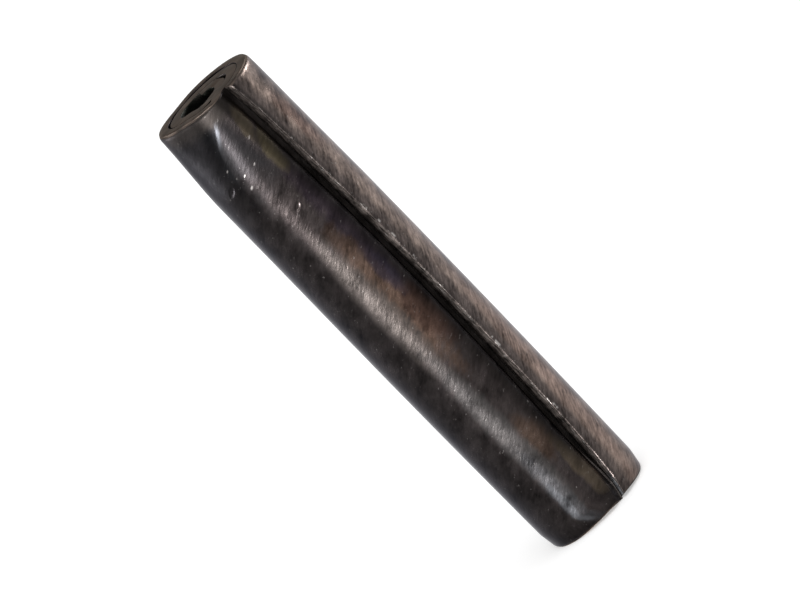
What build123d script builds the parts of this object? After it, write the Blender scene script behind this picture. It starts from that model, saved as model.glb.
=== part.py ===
from build123d import *

import os
from math import acos, asin, atan2, cos, pi, radians, sin, sqrt

# A coiled spring pin. One spring-steel strip is rolled up a little over two turns, then both mouths
# are swaged in so that the pin finds its hole. It stands on its lower mouth, with its axis on Z.
# Lengths are in millimetres and angles in degrees. Directions run from +X towards +Y.

# The pin
pin_length = 38.1
pin_diameter = 8.37  # over the straight middle, before it is driven
swage_length = 9.0  # how far each mouth's taper reaches along the pin
swage_depth = 0.2  # how far the taper draws the wall in at the mouth
upper_rim_length = 0.48  # how far the rounded rim reaches down the side
upper_rim_depth = 0.22  # and how much it takes off the end face
lower_rim_length = 0.68
lower_rim_depth = 0.32

# The strip
strip_thickness = 0.9
turn_clearance = 0.03  # between turns that lie against each other
outer_bevel = 0.12  # the worn corner of the outer edge

# The seam, where the strip's outer edge lies on the turn below
seam_angle_middle = -51.3
seam_bow = 8.0  # the edge falls back this far from the pin's middle to a mouth, in an even bow
mouth_creep = 3.7  # and this far more where the mouth is rolled tighter

# The step down from the first turn to the second, which ends at the seam
first_crest_radius = 0.6  # all these radii are to the middle of the strip
first_foot_radius = 1.1

# The second turn leaves the first to form an open crescent. Angles are counted from the seam.
crescent_depth = 0.52
crescent_start = 51.0
crescent_end = 273.0
crescent_shoulder_tightening = 1.063  # the bend at each end has a radius this much under the turn's

# The step down from the second turn, and the free inner end
second_crest_radius = 0.75
second_foot_radius = 1.4
second_foot_angle = -1.0  # where the foot ends, counted from the seam
second_step_extra = 0.12  # the inner end springs this far clear of the second turn
inner_end_arc = 11.0  # how far the inner end carries on past the foot, at the pin's middle

# How the gap between the turns is cut
mouth_slices = 5  # through each mouth's taper
mouth_crowding = 1.5  # over 1 draws those slices towards the end face
land_slices = 4  # through the straight middle
crest_lift = 0.008  # the first crest crosses the round wall at a small angle, not along it
cutter_margin = 0.8  # how far the cutter reaches outside the pin
blank_turn = 6.0  # back from the seam at the mouths, where the step is open at every height

pin_radius = pin_diameter / 2
half_strip = strip_thickness / 2
turn_pitch = strip_thickness + turn_clearance
second_radius_middle = pin_radius + crest_lift - half_strip - turn_pitch
crescent_shoulder_radius = second_radius_middle - crescent_shoulder_tightening
# At a mouth the inner end just fits across the bore, from its own foot to the crescent's back.
second_radius_mouth = second_radius_middle - swage_depth
foot_side = second_radius_mouth - turn_pitch - second_step_extra
crescent_side = second_radius_mouth - crescent_depth - turn_pitch
inner_end_radius = (foot_side + crescent_side) / 2


def arc_radius(length, depth):
    # Of an arc that sets off along the wall and, over this length, draws in by this depth.
    return (length**2 + depth**2) / (2 * depth)


swage_arc = arc_radius(swage_length, swage_depth)
upper_rim_arc = arc_radius(upper_rim_length, upper_rim_depth)
lower_rim_arc = arc_radius(lower_rim_length, lower_rim_depth)


def into_swage(z):
    # How far a height lies inside the nearer mouth's taper.
    return max(swage_length - min(z, pin_length - z), 0)


def wall_radius(z):
    # The round wall, straight in the middle and drawn in by an arc at each mouth.
    return pin_radius - swage_arc + sqrt(swage_arc**2 - into_swage(z) ** 2)


def seam_angle(z):
    bow = seam_bow * (2 * z / pin_length - 1) ** 2
    creep = mouth_creep * (into_swage(z) / swage_length) ** 4
    return seam_angle_middle - bow - creep


def polar(radius, angle):
    return Vector(radius * cos(angle), radius * sin(angle))


# The strip's middle line is a chain of arcs, each tangent to the last. An arc is its radius and the
# angle it turns in radians, both negative where the strip bends away from the pin's axis.


def step_down(radius, drop, crest, foot):
    # Two arcs from a turn of this radius to one that much smaller, and the angle they span.
    to_crest = radius - crest
    to_foot = radius - drop + foot
    both = crest + foot
    span = acos((to_crest**2 + to_foot**2 - both**2) / (2 * to_crest * to_foot))
    turned_back = asin(to_crest * sin(span) / both)
    return [(crest, span + turned_back), (-foot, -turned_back)], span


def open_crescent(radius):
    # Three arcs that leave a turn of this radius and come back to it: a shoulder, a flatter
    # back and a shoulder again.
    half_span = radians(crescent_end - crescent_start) / 2
    to_shoulder = radius - crescent_shoulder_radius
    sideways = to_shoulder * sin(half_span)
    forwards = to_shoulder * cos(half_span)
    shift = crescent_depth * (to_shoulder - crescent_depth / 2)
    shift /= to_shoulder - forwards - crescent_depth
    half_back = atan2(sideways, shift + forwards)
    shoulder = (crescent_shoulder_radius, half_span - half_back)
    back = (radius - crescent_depth + shift, 2 * half_back)
    return [shoulder, back, shoulder]


def rolled_strip(z):
    # All the arcs at a height but the inner end's, from the outer edge inwards.
    first_radius = wall_radius(z) + crest_lift - half_strip
    second_radius = first_radius - turn_pitch
    first_step, first_span = step_down(
        first_radius, turn_pitch, first_crest_radius, first_foot_radius
    )
    second_step, second_span = step_down(
        second_radius, turn_pitch + second_step_extra, second_crest_radius, second_foot_radius
    )
    to_second_step = radians(360 + second_foot_angle - crescent_end) - second_span
    return [
        (first_radius, 2 * pi - first_span),
        *first_step,
        (second_radius, radians(crescent_start)),
        *open_crescent(second_radius),
        (second_radius, to_second_step),
        *second_step,
    ]


def width_of(arcs):
    return sum(radius * turn for radius, turn in arcs)


# The strip is as wide at the mouths as in the middle, so a tighter mouth rolls up further.
strip_width = width_of(rolled_strip(pin_length / 2)) + inner_end_radius * radians(inner_end_arc)


def strip_side(z, offset):
    # One side of the strip at a height, that far outwards from its middle line: for each arc, its
    # start, middle and end.
    arcs = rolled_strip(z)
    inner_end_turn = (strip_width - width_of(arcs)) / inner_end_radius
    direction = radians(seam_angle(z))
    centre = Vector(0, 0)
    joint = polar(arcs[0][0], direction)
    side = []
    for radius, turn in [*arcs, (inner_end_radius, inner_end_turn)]:
        centre = joint - polar(radius, direction)
        side.append(
            [centre + polar(radius + offset, direction + turn * part) for part in (0, 0.5, 1)]
        )
        direction += turn
        joint = centre + polar(radius, direction)
    return side


# The heights it is drawn at, closer together towards the mouths
mouth_heights = [
    swage_length * (i / mouth_slices) ** mouth_crowding for i in range(mouth_slices + 1)
]
land_length = pin_length - 2 * swage_length
land_heights = [swage_length + land_length * i / land_slices for i in range(1, land_slices)]
heights = mouth_heights + land_heights + [pin_length - z for z in reversed(mouth_heights)]

# What lies between the turns: one long curled shape at each height, from the open step at the seam
# round to the bore, lofted from mouth to mouth.
with BuildPart() as gap:
    for z in heights:
        facing_bore = strip_side(z, -half_strip)
        facing_out = strip_side(z, half_strip)[1:]
        crest_start = facing_out[0][0]
        edge = polar(1, radians(seam_angle(z)))
        bevel_foot = edge * (wall_radius(z) - outer_bevel)
        clear_of_bevel = bevel_foot + (edge + edge.rotate(Axis.Z, 90)) * cutter_margin
        clear_of_crest = crest_start * (1 + cutter_margin / wall_radius(z))
        with BuildSketch(Plane.XY.offset(z)):
            with BuildLine():
                for start, middle, end in facing_bore + facing_out:
                    ThreePointArc(start, middle, end)
                Line(facing_bore[-1][-1], facing_out[-1][-1])
                Polyline(
                    crest_start, clear_of_crest, clear_of_bevel, bevel_foot, facing_bore[0][0]
                )
            make_face()
    loft(ruled=True)

# The round wall and the end faces come from a turned blank with swaged, rounded mouths.
mouth_radius = wall_radius(0)
with BuildPart() as blank:
    with BuildSketch(Plane.XZ):
        with BuildLine():
            lower_face = Line((0, 0), (mouth_radius - lower_rim_depth, 0))
            lower_rim = RadiusArc(lower_face @ 1, (mouth_radius, lower_rim_length), -lower_rim_arc)
            lower_swage = RadiusArc(lower_rim @ 1, (pin_radius, swage_length), -swage_arc)
            land = Line(lower_swage @ 1, (pin_radius, pin_length - swage_length))
            upper_rim_start = (mouth_radius, pin_length - upper_rim_length)
            upper_swage = RadiusArc(land @ 1, upper_rim_start, -swage_arc)
            upper_rim = RadiusArc(
                upper_swage @ 1, (mouth_radius - upper_rim_depth, pin_length), -upper_rim_arc
            )
            Polyline(upper_rim @ 1, (0, pin_length), (0, 0))
        make_face()
    revolve(axis=Axis.Z)

# The strip is that blank less the gap. The blank's own join is turned into the open step.
with BuildPart() as spring_pin:
    add(blank.part, rotation=(0, 0, seam_angle(0) - blank_turn))
    add(gap.part, mode=Mode.SUBTRACT)

spring_pin.part.label = "spring_pin"
os.makedirs("parts", exist_ok=True)
export_step(spring_pin.part, "parts/spring_pin.step")
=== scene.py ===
from math import cos, pi, radians, sin, tau

import bpy
from mathutils import Matrix, Vector


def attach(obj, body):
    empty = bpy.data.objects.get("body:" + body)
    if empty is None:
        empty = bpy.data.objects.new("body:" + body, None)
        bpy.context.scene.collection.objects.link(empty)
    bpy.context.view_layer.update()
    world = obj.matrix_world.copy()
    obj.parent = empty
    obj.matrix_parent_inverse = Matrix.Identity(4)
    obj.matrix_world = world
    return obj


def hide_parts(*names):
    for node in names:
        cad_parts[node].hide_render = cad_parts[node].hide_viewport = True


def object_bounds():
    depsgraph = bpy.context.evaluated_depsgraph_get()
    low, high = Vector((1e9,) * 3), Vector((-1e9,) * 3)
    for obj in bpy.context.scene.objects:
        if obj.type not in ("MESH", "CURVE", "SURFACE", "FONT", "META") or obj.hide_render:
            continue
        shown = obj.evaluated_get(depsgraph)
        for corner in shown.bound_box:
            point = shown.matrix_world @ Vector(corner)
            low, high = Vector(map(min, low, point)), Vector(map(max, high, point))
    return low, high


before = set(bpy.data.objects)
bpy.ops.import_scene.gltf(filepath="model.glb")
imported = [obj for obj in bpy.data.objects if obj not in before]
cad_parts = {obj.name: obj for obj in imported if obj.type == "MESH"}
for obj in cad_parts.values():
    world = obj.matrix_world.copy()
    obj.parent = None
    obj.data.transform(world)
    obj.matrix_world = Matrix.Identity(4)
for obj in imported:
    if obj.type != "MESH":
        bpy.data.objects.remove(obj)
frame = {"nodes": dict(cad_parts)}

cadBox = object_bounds()
print("frame loaded:", ", ".join(frame["nodes"]))


class Wire:
    # a socket of a node tree that can be written into a sum like a number
    def __init__(self, tree, socket):
        self.tree, self.socket = tree, socket

    def __add__(self, other):
        return calc("ADD", self, other)

    def __radd__(self, other):
        return calc("ADD", self, other)

    def __sub__(self, other):
        return calc("SUBTRACT", self, other)

    def __rsub__(self, other):
        return calc("SUBTRACT", other, self)

    def __mul__(self, other):
        return calc("MULTIPLY", self, other)

    def __rmul__(self, other):
        return calc("MULTIPLY", self, other)

    def __truediv__(self, other):
        return calc("DIVIDE", self, other)

    def __neg__(self):
        return calc("MULTIPLY", self, -1)


def plug(value, socket):
    # links a wire to this socket, or sets the socket to a plain value
    if isinstance(value, Wire):
        value.tree.links.new(value.socket, socket)
    else:
        socket.default_value = value


def node(tree, kind, settings=None, out=0, **inputs):
    # one node, its inputs given by name with the spaces left out; comes back as the output asked for by
    # number or name, or as the node itself if that is None
    made = tree.nodes.new(kind)
    for name, value in (settings or {}).items():
        setattr(made, name, value)
    for name, value in inputs.items():
        socket = next(s for s in made.inputs if s.enabled and s.name.replace(" ", "") == name)
        plug(value, socket)
    if out is None:
        return made
    if isinstance(out, str):
        return Wire(tree, next(s for s in made.outputs if s.enabled and s.name == out))
    return Wire(tree, [s for s in made.outputs if s.enabled][out])


def operationNode(kind, operation, values):
    # in the tree that the first wire among the values belongs to
    tree = next(v.tree for v in values if isinstance(v, Wire))
    made = tree.nodes.new(kind)
    made.operation = operation
    for value, socket in zip(values, made.inputs):
        plug(value, socket)
    return tree, made


def calc(operation, *values):
    tree, made = operationNode("ShaderNodeMath", operation, values)
    return Wire(tree, made.outputs["Value"])


def vectorCalc(operation, *values):
    tree, made = operationNode("ShaderNodeVectorMath", operation, values)
    return Wire(tree, made.outputs["Vector"])


def scaled(vector, scale):
    tree, made = operationNode("ShaderNodeVectorMath", "SCALE", [vector])
    plug(scale, made.inputs["Scale"])
    return Wire(tree, made.outputs["Vector"])


def clampTo(value, low, high):
    return calc("MINIMUM", calc("MAXIMUM", value, low), high)


def blendOver(value, start, end, low=0.0, high=1.0):
    # runs smoothly from low at start to high at end
    return node(value.tree, "ShaderNodeMapRange", {"interpolation_type": "SMOOTHSTEP"},
                Value=value, FromMin=start, FromMax=end, ToMin=low, ToMax=high)


def fadeOut(value, start, end):
    return blendOver(value, start, end, 1.0, 0.0)


def between(value, start, full, fading, end):
    # 1 from full to fading, and 0 before start and after end
    return blendOver(value, start, full) * fadeOut(value, fading, end)


def mixValue(share, low, high):
    return low + (high - low) * share


def makeVector(tree, x, y, z):
    return node(tree, "ShaderNodeCombineXYZ", X=x, Y=y, Z=z)


def splitVector(vector):
    made = node(vector.tree, "ShaderNodeSeparateXYZ", out=None, Vector=vector)
    return [Wire(vector.tree, s) for s in made.outputs]


def newGroup(kind, name, inputs, outputs):
    # a node group, its inputs as wires by name, and the node that its outputs are plugged into
    tree = bpy.data.node_groups.new(name, kind)
    for title, socketKind, value in inputs:
        socket = tree.interface.new_socket(title, in_out="INPUT", socket_type=socketKind)
        if value is not None:
            socket.default_value = value
    for title, socketKind in outputs:
        tree.interface.new_socket(title, in_out="OUTPUT", socket_type=socketKind)
    entry, leave = tree.nodes.new("NodeGroupInput"), tree.nodes.new("NodeGroupOutput")
    return tree, {s.name: Wire(tree, s) for s in entry.outputs if s.name}, leave


# a long lens that looks down a little on the pin, and leans so that the pin lies across the picture
cameraView = {
    "elevation": 14.2,      # degrees
    "lean": 44.15,          # how far the pin's top leans to the left, degrees
    "distance": 1.06,       # metres
    "pictureWidth": 0.05186,    # what the picture takes in at the pin, metres
    "pixelsAcross": 800,
    "aimRight": -0.59,      # how far the camera aims off the pin's middle, pixels
    "aimUp": 1.67,
    "sensorWidth": 36,      # millimetres
    "nearest": 0.05,        # nothing nearer or farther than these is drawn, metres
    "farthest": 20,
}


def buildCamera(view):
    data = bpy.data.cameras.new("pinCamera")
    data.sensor_width = view["sensorWidth"]
    data.lens = view["sensorWidth"] * view["distance"] / view["pictureWidth"]
    data.clip_start, data.clip_end = view["nearest"], view["farthest"]
    camera = bpy.data.objects.new("pinCamera", data)
    bpy.context.scene.collection.objects.link(camera)
    lift = radians(view["elevation"])
    back = Vector((0, -cos(lift), sin(lift)))
    level = (-back).to_track_quat("-Z", "Y").to_matrix()
    turned = level @ Matrix.Rotation(-radians(view["lean"]), 3, "Z")
    pixel = view["pictureWidth"] / view["pixelsAcross"]
    aim = Vector((0, 0, sum(corner.z for corner in cadBox) / 2))
    aim += turned @ Vector((view["aimRight"] * pixel, view["aimUp"] * pixel, 0))
    camera.matrix_world = Matrix.Translation(aim + back * view["distance"]) @ turned.to_4x4()
    bpy.context.scene.camera = camera


buildCamera(cameraView)
print("camera placed")


# lengths in millimetres and angles in degrees, as a spring maker's drawing gives them
rolledPin = {
    "Pin Length": 38.1,
    "Pin Diameter": 8.37,
    "Upper Crown": 0.106,          # how much slimmer the body gets from its middle to each end
    "Lower Crown": 0.156,
    "Taper Length": 5.5,           # of the cone swaged on the upper end
    "Taper Depth": 0.15,
    "Lower Taper Length": 1.25,    # of the short one on the lower end
    "Lower Taper Depth": 0.18,
    "Body Lean": -0.048,           # the upper half bends this way, and its mouth back again
    "Mouth Lean": 0.105,
    "Swage Length": 9.0,           # how far the mouths are rolled tighter
    "Strip Thickness": 0.9,
    "Strip Width": 40.408,
    "Turn Clearance": 0.03,
    "Seam Angle": -51.3,
    "Seam Bow": 8.0,
    "Mouth Creep": 3.7,
    "First Crest Radius": 0.6,
    "First Foot Radius": 1.1,
    "Crescent Depth": 0.52,
    "Crescent Start": 51.0,
    "Crescent End": 273.0,
    "Shoulder Radius": 1.75,
    "Second Crest Radius": 0.75,
    "Second Foot Radius": 1.4,
    "Second Step Extra": 0.12,
    "Second Foot Angle": -1.0,
    "Inner End Radius": 1.363,     # of the free end in the bore, where it has room
    "Edge Flat Width": 0.9,        # beside the outer edge, which was never quite bent
    "Edge Burr": 0.035,            # how ragged that edge is
    "Edge Round": 0.13,
    "Cut Round": 0.05,             # the corners left by the shears
    "Upper Rim Length": 0.38,
    "Upper Rim Depth": 0.17,
    "Lower Rim Length": 0.25,
    "Lower Rim Depth": 0.12,
    "Back Place": 9.3,             # where the back and the front of the pin lie along the strip
    "Front Place": 20.3,
    "Upper Back Wear": 0.25,       # more is gone from the upper rim at the back
    "Upper Back Dip": 0.1,         # and neither end is quite square
    "Lower Front Wear": 0.2,
    "Lower Front Lift": 0.27,
    "Lower Lift Angle": 290.0,
    "Mouth Shift": 0.9,            # how much sooner along the strip the step comes at the mouths
    "Mouth Crest Radius": 0.5,     # the step is pressed tight at the lower mouth
    "Mouth Foot Radius": 0.55,
    "Lower Step Fill": 0.45,
    "Dent Depth": 0.33,            # where the upper mouth was knocked in
    "Dent Angle": 122.0,
    "Dent Spread": 0.44,           # radians
    "Dent Reach": 5.5,
    "Flat Depth": 0.38,            # and flattened on the other side by the swaging die
    "Flat Angle": 227.0,
    "Flat Spread": 0.43,           # radians
    "Flat Reach": 6.0,
    "Notch Depth": 0.13,           # the inner turn stands back here at the upper mouth
    "Waviness": 0.006,             # left in the first turn by the rolling
    "Seed": 3.0,                   # of the ragged edge
}
# how finely the strip is divided along, up and over a corner, and how much more finely by its outer edge
# and at the mouths
stripMesh = {"stations": 372, "rows": 118, "cornerCells": 3, "stationCrowding": 0.3, "rowCrowding": 0.6}
restOfStrip = 1000.0    # radians, more than the last arc can ever use
# where a change begins and ends on the strip, in millimetres; four numbers are a rise and a fall
stripPlaces = {
    "firstTurnEnd": (20.4, 21.8),      # along the strip
    "knockedTurnEnd": (19.0, 21.0),
    "burr": (0.0, 0.6),
    "notch": (35.4, 36.4, 38.6, 39.4),
    "rimWear": (1.5, 5.5),             # along it, to either side of the most worn place
    "stepFill": (-1.0, -0.55),         # past the end of the step
    "stepFillEnd": (-0.25, -0.1),
    "liftEnd": (-1.3, -0.8),
    "pressedHeight": (0.5, 7.0),       # up from the lower mouth
    "fillHeight": (0.5, 6.0),
    "notchHeight": (0.0, 1.5),         # down from the upper mouth
    "mouthLeanHeight": (6.0, 0.5),
    "unsquareHeight": (0.0, 4.0),      # from either mouth
    "bodyLeanShare": (0.68, 0.86),     # up the pin, as a share of its length
}


def arcGroup():
    # one arc of the rolled strip: takes up as much of what is left of the strip as the arc holds
    tree, given, leave = newGroup("GeometryNodeTree", "bendAlongArc", [
        ("Place", "NodeSocketVector", None), ("Heading", "NodeSocketFloat", 0.0),
        ("Left", "NodeSocketFloat", 0.0), ("Radius", "NodeSocketFloat", 1.0),
        ("Turn", "NodeSocketFloat", 1.0)],
        [("Place", "NodeSocketVector"), ("Heading", "NodeSocketFloat"), ("Left", "NodeSocketFloat")])
    radius = given["Radius"]
    used = calc("MINIMUM", given["Left"], radius * given["Turn"])
    heading = given["Heading"] + used / radius
    before = aroundAxis(radius, given["Heading"])
    after = aroundAxis(radius, heading)
    plug(vectorCalc("ADD", vectorCalc("SUBTRACT", given["Place"], before), after), leave.inputs["Place"])
    plug(heading, leave.inputs["Heading"])
    plug(given["Left"] - used, leave.inputs["Left"])
    return tree


def aroundAxis(radius, angle):
    return makeVector(angle.tree, radius * calc("COSINE", angle), radius * calc("SINE", angle), 0.0)


def stepDown(radius, drop, crest, foot):
    # the two arcs from a turn of this radius to one that much smaller, and the angle they span
    toCrest = radius - crest
    toFoot = radius - drop + foot
    both = crest + foot
    span = calc("ARCCOSINE", (toCrest * toCrest + toFoot * toFoot - both * both) / (2 * toCrest * toFoot))
    turnedBack = calc("ARCSINE", toCrest * calc("SINE", span) / both)
    return [(crest, span + turnedBack), (-foot, -turnedBack)], span


def openCrescent(radius, depth, shoulderRadius, halfSpan):
    # a shoulder, a flatter back and a shoulder again, back to the same turn
    toShoulder = radius - shoulderRadius
    sideways = toShoulder * calc("SINE", halfSpan)
    forwards = toShoulder * calc("COSINE", halfSpan)
    shift = depth * (toShoulder - depth / 2) / (toShoulder - forwards - depth)
    halfBack = calc("ARCTAN2", sideways, shift + forwards)
    shoulder = (shoulderRadius, halfSpan - halfBack)
    return [shoulder, (radius - depth + shift, 2 * halfBack), shoulder]


def cornerShare(place, count, cells):
    # -1 at the first end, 0 all over the flat and 1 at the last end, changing over the corners' cells;
    # and how far across the flat a point lies
    index = place * (count - 1)
    low = clampTo(1 - index / cells, 0.0, 1.0)
    high = clampTo(1 - ((count - 1) - index) / cells, 0.0, 1.0)
    flat = clampTo((index - cells) / (count - 1 - 2 * cells), 0.0, 1.0)
    return high - low, flat


def knock(around, angle, spread, depth, reach):
    # 1 at this angle on the mouth, fading round the pin and down it
    off = calc("WRAP", around - angle, pi, -pi) / spread
    return calc("EXPONENT", -(off * off)) * fadeOut(depth, 0.0, reach)


def pinTree(sizes, mesh, places):
    kinds = [("Geometry", "NodeSocketGeometry", None)]
    kinds += [(name, "NodeSocketFloat", 0.0) for name in sizes]
    kinds += [(name, "NodeSocketMaterial", None) for name in ("Rolled Finish", "Sheared Finish")]
    tree, size, leave = newGroup("GeometryNodeTree", "rollStripIntoPin", kinds,
                                 [("Geometry", "NodeSocketGeometry")])
    arc = arcGroup()
    length = size["Pin Length"]
    half = size["Strip Thickness"] / 2
    cells = mesh["cornerCells"]
    across = 2 * cells + 3
    blank = node(tree, "GeometryNodeMeshCube", out="Mesh", Size=(1.0, 1.0, 1.0),
                 VerticesX=mesh["stations"], VerticesY=across, VerticesZ=mesh["rows"])

    # where each point of the flat blank lies: along the strip, through it, and up the pin
    position = node(tree, "GeometryNodeInputPosition")
    u, v, w = splitVector(vectorCalc("ADD", position, (0.5, 0.5, 0.5)))
    nearStart = calc("LESS_THAN", u, 0.5)
    upperEnd = calc("GREATER_THAN", w, 0.5)
    alongCorner, alongFlat = cornerShare(u, mesh["stations"], cells)
    throughCorner, throughFlat = cornerShare(v, across, cells)
    upCorner, upFlat = cornerShare(w, mesh["rows"], cells)
    # which way a corner faces there, in even steps round it
    corner = [calc("TANGENT", share * (pi / 4)) for share in (alongCorner, throughCorner, upCorner)]
    alongOut, throughOut, upOut = splitVector(vectorCalc("NORMALIZE", makeVector(tree, *corner)))

    # points lie closer together at the strip's outer edge and towards both mouths
    alongFlat = alongFlat * (1 - mesh["stationCrowding"] + mesh["stationCrowding"] * alongFlat)
    upFlat = upFlat - mesh["rowCrowding"] * calc("SINE", upFlat * tau) / tau

    # the worn rims are on the first turn's outer side, up to where the step comes
    outside = blendOver(throughOut, -0.05, 0.05)
    roughAlong = alongFlat * size["Strip Width"]
    mouthShift = blendOver(calc("ABSOLUTE", upFlat - 0.5), 0.3, 0.5) * size["Mouth Shift"]
    firstTurn = fadeOut(roughAlong + mouthShift, *places["firstTurnEnd"])
    onRim = outside * firstTurn
    atBack = fadeOut(calc("ABSOLUTE", roughAlong - size["Back Place"]), *places["rimWear"])
    atFront = fadeOut(calc("ABSOLUTE", roughAlong - size["Front Place"]), *places["rimWear"])
    rimWear = mixValue(upperEnd, size["Lower Front Wear"] * atFront, size["Upper Back Wear"] * atBack)
    rimLength = mixValue(upperEnd, size["Lower Rim Length"], size["Upper Rim Length"]) + rimWear
    rimDepth = mixValue(upperEnd, size["Lower Rim Depth"], size["Upper Rim Depth"]) + rimWear
    upRound = mixValue(onRim, size["Cut Round"], rimLength)
    throughRound = mixValue(calc("ABSOLUTE", upCorner) * onRim, size["Cut Round"], rimDepth)
    edgeRound = mixValue(nearStart, size["Cut Round"], size["Edge Round"])
    throughRound = calc("MAXIMUM", throughRound, edgeRound * calc("ABSOLUTE", alongCorner))

    flatWidth = size["Strip Width"] - size["Edge Round"] - size["Cut Round"]
    along = edgeRound + alongFlat * flatWidth + alongOut * edgeRound
    along = along - mixValue(nearStart, size["Cut Round"] - size["Edge Round"], 0.0)
    through = mixValue(throughFlat, throughRound - half, half - throughRound) + throughOut * throughRound
    up = upRound + upFlat * (length - 2 * upRound) + upOut * upRound

    # the outer edge is ragged
    ragged = node(tree, "ShaderNodeTexNoise", {"noise_dimensions": "2D"}, out="Fac",
                  Vector=makeVector(tree, up, size["Seed"], 0.0), Scale=2.6, Detail=5.0, Roughness=0.65)
    along = along + (ragged - 0.5) * 2 * size["Edge Burr"] * fadeOut(along, *places["burr"])

    # the radius of the pin's wall at this height, and the angle of its seam
    intoSwage = calc("MAXIMUM", size["Swage Length"] - calc("MINIMUM", up, length - up), 0.0)
    swageShare = intoSwage / size["Swage Length"]
    fromMiddle = 2 * up / length - 1
    crown = mixValue(calc("GREATER_THAN", fromMiddle, 0.0), size["Lower Crown"], size["Upper Crown"])
    intoTaper = size["Taper Length"] - (length - up)
    cone = calc("SMOOTH_MAX", intoTaper, 0.0, 1.2) * size["Taper Depth"] / size["Taper Length"]
    lowerTaper = calc("SMOOTH_MAX", size["Lower Taper Length"] - up, 0.0, 0.3)
    cone = cone + lowerTaper * size["Lower Taper Depth"] / size["Lower Taper Length"]
    wall = size["Pin Diameter"] / 2 - crown * fromMiddle * fromMiddle - cone
    degree = pi / 180
    seam = size["Seam Angle"] - size["Seam Bow"] * fromMiddle * fromMiddle
    seam = (seam - size["Mouth Creep"] * calc("POWER", swageShare, 4.0)) * degree

    # the strip's middle line, arc after arc
    pitch = size["Strip Thickness"] + size["Turn Clearance"]
    first = wall - half
    second = first - pitch
    pressed = fadeOut(up, *places["pressedHeight"])
    firstCrest = mixValue(pressed, size["First Crest Radius"], size["Mouth Crest Radius"])
    firstFoot = mixValue(pressed, size["First Foot Radius"], size["Mouth Foot Radius"])
    firstStep, firstSpan = stepDown(first, pitch, firstCrest, firstFoot)
    secondStep, secondSpan = stepDown(second, pitch + size["Second Step Extra"],
                                      size["Second Crest Radius"], size["Second Foot Radius"])
    crescent = openCrescent(second, size["Crescent Depth"], size["Shoulder Radius"],
                            (size["Crescent End"] - size["Crescent Start"]) * degree / 2)
    toSecondStep = (360 + size["Second Foot Angle"] - size["Crescent End"]) * degree - secondSpan
    # the inner end curls tighter where a mouth leaves it less room before the crescent's back
    room = second - pitch - (size["Second Step Extra"] + size["Crescent Depth"]) / 2
    innerEnd = calc("SMOOTH_MIN", size["Inner End Radius"], room, 0.04)
    arcs = [(first, tau - firstSpan), *firstStep, (second, size["Crescent Start"] * degree), *crescent,
            (second, toSecondStep), *secondStep, (innerEnd, restOfStrip)]
    pastStep = along - first * (tau - firstSpan) - sum(radius * turn for radius, turn in firstStep)
    place, heading, left = aroundAxis(first, seam), seam, along
    for radius, turn in arcs:
        bend = node(tree, "GeometryNodeGroup", {"node_tree": arc}, out=None,
                    Place=place, Heading=heading, Left=left, Radius=radius, Turn=turn)
        place, heading, left = [Wire(tree, s) for s in bend.outputs]
    # from 0 on the strip's inner side, which stays where it lies on the turn below, to 1 on its outer side
    outward = 0.5 + through / (2 * half)
    flattened = calc("MAXIMUM", along * (size["Edge Flat Width"] - along), 0.0)
    flattened = flattened / size["Pin Diameter"] * outward
    place = vectorCalc("ADD", place, aroundAxis(through - flattened, heading))

    # the upper mouth: the knock moved only the first turn, and the die all of them
    below = length - up
    px, py = splitVector(place)[:2]
    around = calc("ARCTAN2", py, px)
    dent = knock(around, size["Dent Angle"] * degree, size["Dent Spread"], below, size["Dent Reach"])
    dent = dent * fadeOut(along, *places["knockedTurnEnd"]) * size["Dent Depth"]
    flat = knock(around, size["Flat Angle"] * degree, size["Flat Spread"], below, size["Flat Reach"])
    dent = dent + flat * size["Flat Depth"]
    notch = between(along, *places["notch"])
    notch = notch * fadeOut(below, *places["notchHeight"]) * size["Notch Depth"]
    wave = node(tree, "ShaderNodeTexNoise", out="Fac", Vector=makeVector(tree, px, py, up * 0.45),
                Scale=0.55, Detail=2.0, Roughness=0.5)
    wave = (wave - 1.0) * size["Waviness"] * firstTurn
    radial = vectorCalc("NORMALIZE", makeVector(tree, px, py, 0.0))
    # the step is half closed where it comes out at the lower mouth
    filled = outside * blendOver(pastStep, *places["stepFill"]) * fadeOut(pastStep, *places["stepFillEnd"])
    filled = filled * fadeOut(up, *places["fillHeight"]) * size["Lower Step Fill"]
    place = vectorCalc("ADD", place, scaled(radial, wave + filled - dent))
    # the body leans, and its ends aren't square
    lean = size["Body Lean"] * blendOver(up, *[length * share for share in places["bodyLeanShare"]])
    lean = lean + size["Mouth Lean"] * blendOver(up, *[length - down for down in places["mouthLeanHeight"]])
    lifted = calc("MAXIMUM", calc("COSINE", around - size["Lower Lift Angle"] * degree), 0.0)
    lifted = calc("POWER", lifted, 3.0) * fadeOut(pastStep, *places["liftEnd"])
    lifted = lifted * outward * size["Lower Front Lift"] * fadeOut(up, *places["unsquareHeight"])
    dipped = calc("MAXIMUM", calc("SINE", around), 0.0) * size["Upper Back Dip"]
    dipped = dipped * fadeOut(below, *places["unsquareHeight"])
    place = vectorCalc("ADD", place, makeVector(tree, lean, 0.0, up - notch + lifted - dipped))
    place = scaled(place, 0.001)    # from millimetres to metres

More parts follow.
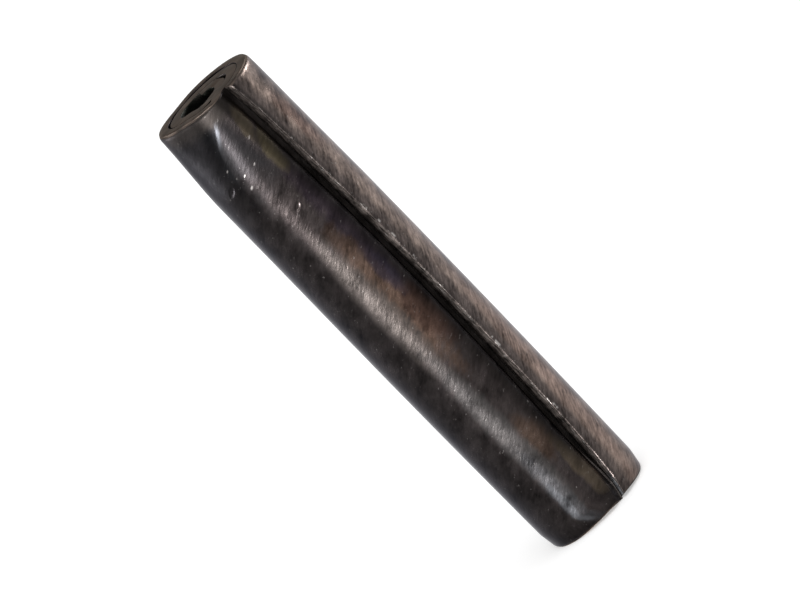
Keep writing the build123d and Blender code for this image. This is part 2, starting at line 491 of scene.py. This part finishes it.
    # what the finishes follow: distance along the strip and up the pin, which side, and the end faces
    marks = {"alongStrip": along, "pastStep": pastStep, "throughStrip": through / half,
             "outerSide": throughOut, "endFace": calc("ABSOLUTE", upOut), "upPin": up}
    shape = blank
    for name, value in marks.items():
        shape = node(tree, "GeometryNodeStoreNamedAttribute", {"data_type": "FLOAT", "domain": "POINT"},
                     Geometry=shape, Name=name, Value=value)
    shape = node(tree, "GeometryNodeSetPosition", Geometry=shape, Position=place)
    shape = node(tree, "GeometryNodeFlipFaces", Mesh=shape)
    shape = node(tree, "GeometryNodeSetShadeSmooth", Geometry=shape, ShadeSmooth=True)
    shape = node(tree, "GeometryNodeRealizeInstances", Geometry=shape)
    shape = node(tree, "GeometryNodeSetMaterial", Geometry=shape, Material=size["Rolled Finish"])
    cut = node(tree, "GeometryNodeInputNamedAttribute", {"data_type": "FLOAT"}, Name="endFace")
    shape = node(tree, "GeometryNodeSetMaterial", Geometry=shape, Selection=calc("GREATER_THAN", cut, 0.75),
                 Material=size["Sheared Finish"])
    plug(shape, leave.inputs["Geometry"])
    return tree


def buildPin(sizes, mesh, places, rolledFinish, shearedFinish):
    holder = bpy.data.objects.new("rolledPinBlank", bpy.data.meshes.new("rolledPinBlank"))
    bpy.context.scene.collection.objects.link(holder)
    roll = holder.modifiers.new("roll", "NODES")
    roll.node_group = pinTree(sizes, mesh, places)
    values = {**sizes, "Rolled Finish": rolledFinish, "Sheared Finish": shearedFinish}
    for item in roll.node_group.interface.items_tree:
        if item.item_type == "SOCKET" and item.in_out == "INPUT" and item.name in values:
            roll[item.identifier] = values[item.name]
    evaluated = holder.evaluated_get(bpy.context.evaluated_depsgraph_get())
    rolled = bpy.data.meshes.new_from_object(evaluated)
    holder.modifiers.clear()
    bpy.data.objects.remove(holder)
    rolled.name = "rolledPin"
    pin = bpy.data.objects.new("rolledPin", rolled)
    bpy.context.scene.collection.objects.link(pin)
    return pin


# dark temper finish under a film of oil; colours are linear
rolledSteel = {
    "steel": (0.0210, 0.0174, 0.0170),
    # painted shade: the body's side beside the key lamp's reflection, darkened
    "darkSide": (0.0152, 0.0130, 0.0128),
    # painted shade in the groove beside the seam
    "grooveOil": (0.0080, 0.0070, 0.0066),
    # painted light at the groove's foot, which the finish also makes rougher as dust
    "grooveDust": (0.034, 0.030, 0.028),
    "bore": (0.0170, 0.0175, 0.0145),
    "mouthShade": (0.0042, 0.0043, 0.0048),
    # painted shade: a darker band round the upper rim, which is also rubbed matt
    "mouthRim": (0.0125, 0.0108, 0.0100),
    "ridge": (0.027, 0.028, 0.031),      # painted highlight where the flattened side begins
    "wrap": (0.130, 0.101, 0.087),       # the strip beside its outer edge
    "wrapEdge": (0.064, 0.052, 0.048),   # and about its first millimetre
    # painted shade along the corner of the free edge
    "corner": (0.0300, 0.0255, 0.0240),
    "cutEdge": (0.078, 0.066, 0.060),    # the sheared face below its corner
    # painted highlight on the sheared face near the lower mouth
    "pressedEdge": (0.130, 0.134, 0.142),
    "bareSteel": (0.50, 0.47, 0.45),
    "roughness": 0.255,
    "edgeTint": (0.67, 0.67, 0.70, 1),
    "grainDepth": 0.000010,     # metres
}
# temper colours left by the heat, and painted highlights along the key lamp's reflection: where each lies
# (along the strip and up the pin, millimetres), how far it reaches each way, its colour and how strong it
# is
temperAndHighlightPatches = [
    (21.9, 27.0, 0.9, 8.0, (0.0190, 0.0146, 0.0178), 1.0),
    (20.8, 20.5, 1.0, 6.5, (0.0580, 0.0380, 0.0290), 0.9),
    (21.6, 18.4, 0.9, 3.0, (0.0360, 0.0210, 0.0165), 0.8),
    (21.6, 33.4, 0.5, 1.9, (0.0600, 0.0490, 0.0300), 0.9),
    (21.1, 36.2, 0.4, 2.0, (0.0560, 0.0450, 0.0310), 0.8),
    (20.9, 7.4, 0.8, 2.2, (0.0400, 0.0270, 0.0210), 0.9),
    (21.6, 3.6, 0.5, 3.0, (0.0680, 0.0530, 0.0380), 0.8),
    # painted highlights: these two lighten the key lamp's reflection along the body
    (19.8, 20.5, 0.9, 7.0, (0.0500, 0.0430, 0.0400), 0.9),
    (19.8, 8.6, 0.8, 8.0, (0.0420, 0.0390, 0.0385), 0.9),
    (21.55, 22.4, 0.5, 2.2, (0.0200, 0.0170, 0.0260), 0.7),
    # painted highlights: these two lighten the key lamp's reflection towards the lower mouth
    (19.6, 3.0, 0.6, 4.5, (0.0400, 0.0410, 0.0450), 0.5),
    (19.4, 2.4, 0.3, 2.4, (0.0750, 0.0770, 0.0830), 0.6),
    (1.6, 33.5, 0.8, 3.0, (0.0800, 0.0540, 0.0450), 0.9),
    (2.6, 36.4, 1.7, 2.2, (0.0460, 0.0365, 0.0320), 0.9),
    (1.4, 8.5, 0.8, 10.0, (0.1750, 0.1260, 0.1060), 0.7),
    (9.0, 15.0, 2.5, 9.0, (0.0400, 0.0290, 0.0230), 0.7),
    (13.5, 28.0, 2.0, 6.0, (0.0330, 0.0260, 0.0200), 0.6),
]
# nicks that show bare steel (along, up, how wide, how bright), and pits (along, up, how wide)
nicks = [(18.6, 34.1, 0.07, 1.0), (20.9, 34.9, 0.08, 0.8), (20.3, 33.4, 0.07, 0.8), (19.4, 33.2, 0.07, 0.8),
         (19.3, 32.3, 0.10, 0.8), (1.0, 33.8, 0.06, 0.7)]
pits = [(18.0, 32.8, 0.25), (20.5, 29.4, 0.2), (10.5, 21.0, 0.3)]
# where a colour begins and ends on the strip, in millimetres; four numbers are a rise and a fall
finishPlaces = {
    "wrapEnd": (3.4, 6.5),             # along the strip
    "wrapEdgeEnd": (0.5, 1.2),
    "darkSide": (14.5, 16.0, 19.1, 19.6),
    "mouthSide": (12.0, 16.5),
    "mouthSideFront": (18.1, 18.9),
    "shadeSide": (10.0, 17.0),
    "border": (18.85, 19.7),           # where the flattened side ends, low down and at the top
    "shadeAtBorder": (-0.12, 0.06),    # across that border
    "ridge": (-0.08, 0.04, 0.06, 0.34),
    "bore": (27.0, 30.0),              # along the strip
    "cornerEnd": (0.15, 0.4),
    "cutEnd": (0.1, 0.2),
    "glintEnd": (0.12, 0.25),
    "mouthGroove": (-2.4, -1.7),       # past the end of the step
    "grooveOil": (-2.0, -1.2),
    "grooveDust": (-1.1, -0.6),
    "dullDust": (-1.2, -0.6, 0.0, 2.4),
    "pressedEdgeHeight": (0.9, 2.3),   # up from the lower mouth
    "borderHeight": (3.2, 0.5),        # down from the upper mouth
    "mouthHeight": (9.0, 4.0),
    "shadeHeight": (9.5, 3.2),
    "ridgeHeight": (4.4, 2.2),
    "ridgeTopHeight": (1.3, 0.6),
    "ridgeBrightHeight": (3.0, 1.6),
    "rimHeight": (1.2, 0.2),
    "cornerHeight": (8.0, 5.0),
    "glintHeight": (6.0, 3.0),
    "oilHeight": (6.0, 2.5),           # from either mouth
}
diagonal = 0.7071   # the grain crosses the strip at 45 degrees

# the end faces, as the shears and a little rust left them
shearedSteel = {
    "steel": (0.026, 0.022, 0.020),
    "rust": (0.062, 0.048, 0.040),
    "bareSteel": (0.50, 0.47, 0.45),
    "roughness": 0.5,
    "edgeTint": (0.60, 0.57, 0.54, 1),
    "grainDepth": 0.000010,     # metres
}


def attribute(tree, name):
    return Wire(tree, node(tree, "ShaderNodeAttribute", {"attribute_name": name}, out=None).outputs["Fac"])


def blendColours(share, first, second):
    # a Mix node's colour sockets go by number, because their names are those of its other kinds too
    made = node(share.tree, "ShaderNodeMix", {"data_type": "RGBA"}, out=None)
    for value, socket in ((share, made.inputs[0]), (first, made.inputs[6]), (second, made.inputs[7])):
        plug((*value, 1) if isinstance(value, tuple) else value, socket)
    return Wire(share.tree, made.outputs[2])


def noise(vector, scale, detail=2.0, roughness=0.5):
    return node(vector.tree, "ShaderNodeTexNoise", out="Fac", Vector=vector, Scale=scale, Detail=detail,
                Roughness=roughness)


def grainGroup():
    # fine lines that cross the strip on a slant, as the rolls left them, and broader clouds
    tree, given, leave = newGroup("ShaderNodeTree", "slantedGrain", [
        ("Along", "NodeSocketFloat", 0.0), ("Up", "NodeSocketFloat", 0.0),
        ("Fineness", "NodeSocketFloat", 5.5), ("Stretch", "NodeSocketFloat", 3.5)],
        [("Lines", "NodeSocketFloat"), ("Streaks", "NodeSocketFloat"), ("Cloud", "NodeSocketFloat")])
    lengthwise = (given["Along"] + given["Up"]) * diagonal
    crosswise = (given["Up"] - given["Along"]) * diagonal
    place = makeVector(tree, lengthwise / given["Stretch"], crosswise, 0.0)
    plug(noise(place, given["Fineness"], 3.0, 0.65), leave.inputs["Lines"])
    place = makeVector(tree, lengthwise * 0.4, crosswise, 5.0)
    plug(noise(place, given["Fineness"] * 0.28, 4.0, 0.7), leave.inputs["Streaks"])
    place = makeVector(tree, given["Along"], given["Up"], 9.0)
    plug(noise(place, 0.55, 4.0, 0.6), leave.inputs["Cloud"])
    return tree


def speckGroup():
    # sparse bright flecks, drawn out along the grain, where the finish is rubbed through
    tree, given, leave = newGroup("ShaderNodeTree", "rubbedFlecks", [
        ("Along", "NodeSocketFloat", 0.0), ("Up", "NodeSocketFloat", 0.0),
        ("Fineness", "NodeSocketFloat", 5.0), ("Rareness", "NodeSocketFloat", 0.66)],
        [("Flecks", "NodeSocketFloat")])
    lengthwise = (given["Along"] + given["Up"]) * 0.42
    crosswise = (given["Up"] - given["Along"]) * diagonal
    specks = noise(makeVector(tree, lengthwise, crosswise, 1.7), given["Fineness"], 2.0, 0.7)
    plug(blendOver(specks, given["Rareness"], given["Rareness"] + 0.1), leave.inputs["Flecks"])
    return tree


slantedGrain, rubbedFlecks = grainGroup(), speckGroup()


def useGroup(tree, group, **inputs):
    # a group's outputs, as wires by name
    made = node(tree, "ShaderNodeGroup", {"node_tree": group}, out=None, **inputs)
    return {s.name: Wire(tree, s) for s in made.outputs}


def newFinish(name, values):
    finish = bpy.data.materials.new(name)
    finish.use_nodes = True
    shader = finish.node_tree.nodes["Principled BSDF"]
    shader.inputs["Metallic"].default_value = 1.0
    shader.inputs["Specular Tint"].default_value = values["edgeTint"]
    return finish, finish.node_tree, shader


def spot(along, up, centre, height, size):
    # 1 at a point of the strip, gone at this distance across the grain and twice that along it
    lengthwise = (along - centre + up - height) * 0.35
    crosswise = (up - height - along + centre) * diagonal
    away = calc("SQRT", lengthwise * lengthwise + crosswise * crosswise)
    return fadeOut(away, size * 0.35, size)


def patch(along, up, centre, height, reachAlong, reachUp, ragged):
    # 1 inside an oval of the strip, with a ragged border
    aside = (along - centre) / reachAlong
    above = (up - height) / reachUp
    return fadeOut(aside * aside + above * above + (ragged - 0.5) * 3.0, 0.1, 1.3)


def towardsTop(up, down, low=0.0, high=1.0):
    # a change between two heights, each counted down from the upper mouth
    start, end = [rolledPin["Pin Length"] - distance for distance in down]
    return blendOver(up, start, end, low, high)


def buildRolledFinish(values, places):
    finish, tree, shader = newFinish("rolledSteel", values)
    along, up = attribute(tree, "alongStrip"), attribute(tree, "upPin")
    outer, end = attribute(tree, "outerSide"), attribute(tree, "endFace")
    past, through = attribute(tree, "pastStep"), attribute(tree, "throughStrip")
    grain = useGroup(tree, slantedGrain, Along=along, Up=up)
    flecks = useGroup(tree, rubbedFlecks, Along=along, Up=up)["Flecks"]
    lines, streaks, cloud = grain["Lines"], grain["Streaks"], grain["Cloud"]

    # the strip is paler beside its outer edge, with painted shade on the body's side some way before the
    # step, under temper colours and painted highlights
    wrap = fadeOut(along + (cloud - 0.5) * 2, *places["wrapEnd"]) * blendOver(outer, 0.2, 0.6)
    offEdge = blendOver(along + (streaks - 0.5) * 1.2, *places["wrapEdgeEnd"])
    colour = blendColours(offEdge, values["wrapEdge"], values["wrap"])
    colour = blendColours(wrap, values["steel"], colour)
    colour = blendColours(between(along, *places["darkSide"]), colour, values["darkSide"])
    ragged = streaks * 0.7 + cloud * 0.3
    for centre, height, reachAlong, reachUp, tint, strength in temperAndHighlightPatches:
        share = patch(along, up, centre, height, reachAlong, reachUp, ragged)
        colour = blendColours(share * strength, colour, tint)

    # painted shade on the side that the swaging die flattened at the upper mouth and over the front near
    # that mouth, and a painted highlight where that side ends
    pastBorder = along - towardsTop(up, places["borderHeight"], *places["border"])
    mouth = towardsTop(up + (cloud - 0.5) * 5, places["mouthHeight"])
    mouth = mouth * blendOver(along, *places["mouthSide"])
    # painted shade over the front near the upper mouth, damping the key lamp's reflection
    share = mouth * blendOver(along, *places["mouthSideFront"])
    share = share * blendOver(past, *places["mouthGroove"], 0.8, 0.15)
    colour = blendColours(share, colour, values["mouthShade"])
    # painted shade on the flattened side, up to its border
    shade = towardsTop(up + (cloud - 0.5) * 6, places["shadeHeight"])
    shade = shade * blendOver(along, *places["shadeSide"]) * fadeOut(pastBorder, *places["shadeAtBorder"])
    colour = blendColours(shade * 0.8, colour, values["mouthShade"])
    # a painted highlight along the border where the flattened side ends
    ridge = between(pastBorder, *places["ridge"]) * towardsTop(up, places["ridgeHeight"])
    ridge = ridge * towardsTop(up, places["ridgeTopHeight"], 1.0, 0.0)
    ridge = ridge * towardsTop(up, places["ridgeBrightHeight"], 0.15, 0.9)
    colour = blendColours(ridge, colour, values["ridge"])

    # painted shade in the groove beside the seam, fainter towards the mouths, and painted light at its foot
    halfLength = rolledPin["Pin Length"] / 2
    grooveShadeFade = [halfLength - distance for distance in places["oilHeight"]]
    grooveShadeStrength = blendOver(calc("ABSOLUTE", up - halfLength), *grooveShadeFade, 1.0, 0.35)
    colour = blendColours(blendOver(past, *places["grooveOil"]) * grooveShadeStrength, colour, values["grooveOil"])
    colour = blendColours(blendOver(past, *places["grooveDust"]), colour, values["grooveDust"])

    # painted shade round the upper rim, and the bore
    rubbed = towardsTop(up + cloud * 0.8, places["rimHeight"])
    rimShade = rubbed * blendOver(outer, -0.2, 0.4) * (1 - wrap * 0.7)
    colour = blendColours(rimShade, colour, values["mouthRim"])
    rubbed = calc("MAXIMUM", rubbed, blendOver(end, 0.2, 0.75))
    inBore = blendOver(along, *places["bore"]) * blendOver(outer, -0.2, -0.6)
    colour = blendColours(inBore, colour, values["bore"])

    # the free edge: painted shade along its corner, and the torn face that the shears left, shaded darker
    # towards its foot and with a painted highlight near the lower mouth
    cornerShade = fadeOut(along, *places["cornerEnd"]) * towardsTop(up, places["cornerHeight"], 0.55, 0.95)
    colour = blendColours(cornerShade * blendOver(outer, 0.0, 0.2), colour, values["corner"])
    atCut = fadeOut(along, *places["cutEnd"]) * fadeOut(outer, 0.1, 0.4)
    # a painted highlight on the sheared face near the lower mouth
    pressed = fadeOut(up, *places["pressedEdgeHeight"])
    edge = blendColours(pressed, values["cutEdge"], values["pressedEdge"])
    tornToneAndShade = noise(makeVector(tree, up * 0.8, through * 1.6, 7.0), 2.0, 4.0, 0.7)
    # the torn tone, darkened towards the foot of the face as painted shade
    tornToneAndShade = blendOver(tornToneAndShade, 0.36, 0.66, 0.2, 1.8) * blendOver(through, -0.3, 0.6, 0.6, 1.1)
    colour = blendColours(atCut, colour, scaled(edge, tornToneAndShade))

    # grain and clouds make the tone uneven
    broad = (streaks - 0.5) * 2.0 + (cloud - 0.5) * 1.6
    tone = 1 + (lines - 0.5) * (0.8 + wrap * 1.4) + broad * (1 - mouth * 0.6)
    colour = scaled(colour, calc("MAXIMUM", tone, 0.25))

    # painted glints along the corner of the free edge, broken up by noise, and flecks and nicks that show
    # bare steel
    corner = fadeOut(along, *places["glintEnd"]) * blendOver(through, -0.2, 0.4)
    corner = corner * towardsTop(up, places["glintHeight"], 1.0, 0.3)
    glintBreaks = noise(makeVector(tree, up * 0.9, through * 2.6, 2.0), 1.4, 4.0, 0.75)
    bareSteelAndGlints = corner * blendOver(glintBreaks, 0.56, 0.66) * 0.5
    for place, height, size, bright in nicks:
        bareSteelAndGlints = calc("MAXIMUM", bareSteelAndGlints, spot(along, up, place, height, size) * bright * 0.17)
    bareSteelAndGlints = calc("MAXIMUM", bareSteelAndGlints, flecks * (0.12 - mouth * 0.07 + wrap * 0.06))
    colour = blendColours(bareSteelAndGlints, colour, values["bareSteel"])
    plug(colour, shader.inputs["Base Color"])

    # duller where it is rubbed, dusty or torn, and the grain stands up in it
    dusty = between(past, *places["dullDust"])
    roughness = values["roughness"] + (cloud - 0.5) * 0.16 + (streaks - 0.5) * 0.1
    roughness = roughness + rubbed * 0.1 + dusty * 0.3 + atCut * 0.25 + mouth * 0.09
    plug(roughness, shader.inputs["Roughness"])
    height = lines + streaks * 0.8
    for pit in pits:
        height = height - spot(along, up, *pit) * 3
    bump = node(tree, "ShaderNodeBump", Strength=1.0, Distance=values["grainDepth"], Height=height)
    plug(bump, shader.inputs["Normal"])
    return finish


def buildShearedFinish(values):
    finish, tree, shader = newFinish("shearedSteel", values)
    # the grain's slant is undone here, so that its lines follow the strip round
    along, through = attribute(tree, "alongStrip") * diagonal, attribute(tree, "outerSide") * 0.35
    turned = {"Along": along - through, "Up": along + through}
    grain = useGroup(tree, slantedGrain, Fineness=5.0, Stretch=8.0, **turned)
    flecks = useGroup(tree, rubbedFlecks, Fineness=4.0, Rareness=0.62, **turned)["Flecks"]
    lines, streaks = grain["Lines"], grain["Streaks"]
    colour = blendColours(blendOver(streaks, 0.35, 0.65), values["steel"], values["rust"])
    colour = scaled(colour, 1 + (lines - 0.5) * 1.8)
    colour = blendColours(flecks * 0.1, colour, values["bareSteel"])
    plug(colour, shader.inputs["Base Color"])
    plug(values["roughness"] + (lines - 0.5) * 0.15, shader.inputs["Roughness"])
    bump = node(tree, "ShaderNodeBump", Strength=0.8, Distance=values["grainDepth"], Height=lines + streaks)
    plug(bump, shader.inputs["Normal"])
    return finish


rolledFinish = buildRolledFinish(rolledSteel, finishPlaces)
shearedFinish = buildShearedFinish(shearedSteel)
print("finishes mixed")
pin = buildPin(rolledPin, stripMesh, stripPlaces, rolledFinish, shearedFinish)
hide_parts("spring_pin")
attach(pin, "root")
print("pin rolled:", len(pin.data.polygons), "faces")


studio = {
    "floorSize": 3.0,       # metres
    "floorColour": (0.8, 0.8, 0.8, 1),
    "floorLift": 0.4,       # what the camera and the metal see on top of the floor's own light
    "roomLight": 0.75,      # what lights the floor; the camera and the metal see the room at 1
    "lampAim": 0.02,        # the height that every lamp faces, metres
}


def seenDirectly(tree):
    # 1 for what the camera sees, straight or in metal or glass, and 0 for what only lights other things
    ray = node(tree, "ShaderNodeLightPath", out=None)
    camera, metal, glass = [Wire(tree, ray.outputs[name])
                            for name in ("Is Camera Ray", "Is Glossy Ray", "Is Transmission Ray")]
    return calc("MAXIMUM", calc("MAXIMUM", camera, metal), glass)


def buildFloor(values):
    reach = values["floorSize"] / 2
    corners = [(-reach, -reach, 0), (reach, -reach, 0), (reach, reach, 0), (-reach, reach, 0)]
    mesh = bpy.data.meshes.new("floor")
    mesh.from_pydata(corners, [], [(0, 1, 2, 3)])
    floor = bpy.data.objects.new("floor", mesh)
    bpy.context.scene.collection.objects.link(floor)
    finish = bpy.data.materials.new("paleFloor")
    finish.use_nodes = True
    tree = finish.node_tree
    tree.nodes.clear()
    lift = seenDirectly(tree) * values["floorLift"]
    matt = node(tree, "ShaderNodeBsdfDiffuse", Color=values["floorColour"])
    glow = node(tree, "ShaderNodeEmission", Color=(1, 1, 1, 1), Strength=lift)
    both = node(tree, "ShaderNodeAddShader", out=None)
    plug(matt, both.inputs[0])
    plug(glow, both.inputs[1])
    output = node(tree, "ShaderNodeOutputMaterial", out=None)
    tree.links.new(both.outputs[0], output.inputs["Surface"])
    mesh.materials.append(finish)


def buildRoom(values):
    world = bpy.data.worlds.new("studioRoom")
    bpy.context.scene.world = world
    world.use_nodes = True
    tree = world.node_tree
    tree.nodes.clear()
    strength = mixValue(seenDirectly(tree), values["roomLight"], 1.0)
    sky = node(tree, "ShaderNodeBackground", Color=(1, 1, 1, 1), Strength=strength)
    output = node(tree, "ShaderNodeOutputWorld", out=None)
    plug(sky, output.inputs["Surface"])


# each lamp: where it stands as seen from the pin, in degrees from the camera's side towards the right and
# up, its distance, width and tallness in metres, its strength in watts, and whether only metal sees it
lamps = {
    "keyStrip": (-38, 2.0, 1.3, 0.03, 0.08, 44, True),
    "broadCard": (-3, 4.5, 1.5, 0.7, 0.2, 15, True),
    "leftCard": (-110, 4.5, 1.3, 0.5, 0.2, 17, True),
    "rightCard": (113, 4.5, 1.3, 0.6, 0.2, 20, True),
    "topSoftbox": (20, 65, 1.4, 1.2, 1.2, 6, False),
}


def buildLamps(table, aimHeight):
    for name, (turn, lift, distance, width, tallness, power, onlyMetal) in table.items():
        data = bpy.data.lights.new(name, "AREA")
        data.shape = "RECTANGLE"
        data.size, data.size_y, data.energy = width, tallness, power
        lamp = bpy.data.objects.new(name, data)
        bpy.context.scene.collection.objects.link(lamp)
        turn, lift = radians(turn), radians(lift)
        towards = Vector((sin(turn) * cos(lift), -cos(turn) * cos(lift), sin(lift)))
        lamp.location = towards * distance + Vector((0, 0, aimHeight))
        lamp.rotation_mode = "QUATERNION"
        lamp.rotation_quaternion = towards.to_track_quat("Z", "Y")
        lamp.visible_camera = False
        lamp.visible_diffuse = not onlyMetal


buildFloor(studio)
buildRoom(studio)
buildLamps(lamps, studio["lampAim"])
bpy.context.scene.view_settings.view_transform = "Standard"
print("studio lit")
